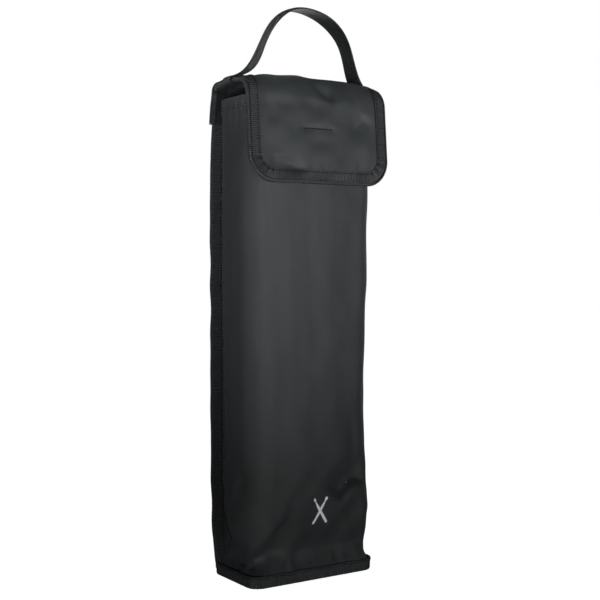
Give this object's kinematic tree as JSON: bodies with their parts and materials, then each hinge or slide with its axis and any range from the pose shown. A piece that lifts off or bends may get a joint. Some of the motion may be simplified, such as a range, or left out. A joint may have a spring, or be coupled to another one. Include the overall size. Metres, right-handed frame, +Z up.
{
  "type": "drum stick bag",
  "caption": "Tall narrow black nylon bag for drum sticks, with a bound base, a fold-over flap and a webbing carry handle.",
  "frame": {"origin": "middle of the bag's whole box, on the floor; the centre of the base stands 4.8 mm behind it", "axes": "+Z up along the bag's length, +X to the right across its width as seen from the front, -Y out of the front panel"},
  "size_m": [0.1464, 0.078, 0.499],
  "materials": {
    "nylon_shell": "satin plain weave",
    "binding_tape": "ribbed polyester tape",
    "webbing": "ribbed polypropylene webbing",
    "lining_cloth": "matt light lining",
    "padding": "closed-cell foam sheet",
    "base_board": "matt fibre board",
    "thread": "polyester thread",
    "hook_tape": "stiff hooks",
    "loop_tape": "soft loop pile",
    "print": "screen print"
  },
  "bodies": {
    "bag": {"back_panel": "nylon_shell", "front_wrap": "nylon_shell", "bottom_panel": "nylon_shell", "mouth_hem": "nylon_shell", "bottom_binding": "binding_tape", "left_seam_binding": "binding_tape", "right_seam_binding": "binding_tape", "handle_end_left": "webbing", "handle_end_right": "webbing", "back_lining": "lining_cloth", "front_lining": "lining_cloth", "bottom_lining": "lining_cloth", "back_foam": "padding", "front_foam": "padding", "bottom_stiffener": "base_board", "left_seam_thread": "thread", "right_seam_thread": "thread", "bottom_seam_thread": "thread", "hem_thread": "thread", "loop_patch_thread": "thread", "handle_tack_left": "thread", "handle_tack_right": "thread", "loop_patch": "loop_tape", "printed_mark": "print"},
    "flap_top": {"flap_top_panel": "nylon_shell", "flap_top_lining": "lining_cloth", "flap_top_binding_left": "binding_tape", "flap_top_binding_right": "binding_tape", "handle_foot_left": "webbing", "handle_foot_right": "webbing"},
    "flap_front": {"flap_front_panel": "nylon_shell", "flap_front_lining": "lining_cloth", "flap_front_binding": "binding_tape", "flap_binding_thread": "thread", "hook_patch": "hook_tape", "hook_patch_thread": "thread"},
    "handle": {"handle_webbing": "webbing"}
  },
  "joints": [
    {"name": "flap_lift", "type": "hinge", "parent": "bag", "child": "flap_top", "pos_m": [0, 0.0361, 0.4327], "axis": [-1, 0, 0], "range_deg": [0, 120]},
    {"name": "flap_fold", "type": "hinge", "parent": "flap_top", "child": "flap_front", "pos_m": [0, -0.0284, 0.4324], "axis": [-1, 0, 0], "range_deg": [0, 90]},
    {"name": "handle_swing", "type": "hinge", "parent": "flap_top", "child": "handle", "pos_m": [0, 0.0048, 0.4385], "axis": [1, 0, 0], "range_deg": [-60, 60], "stiffness_Nm_per_rad": 0.004}
  ]
}
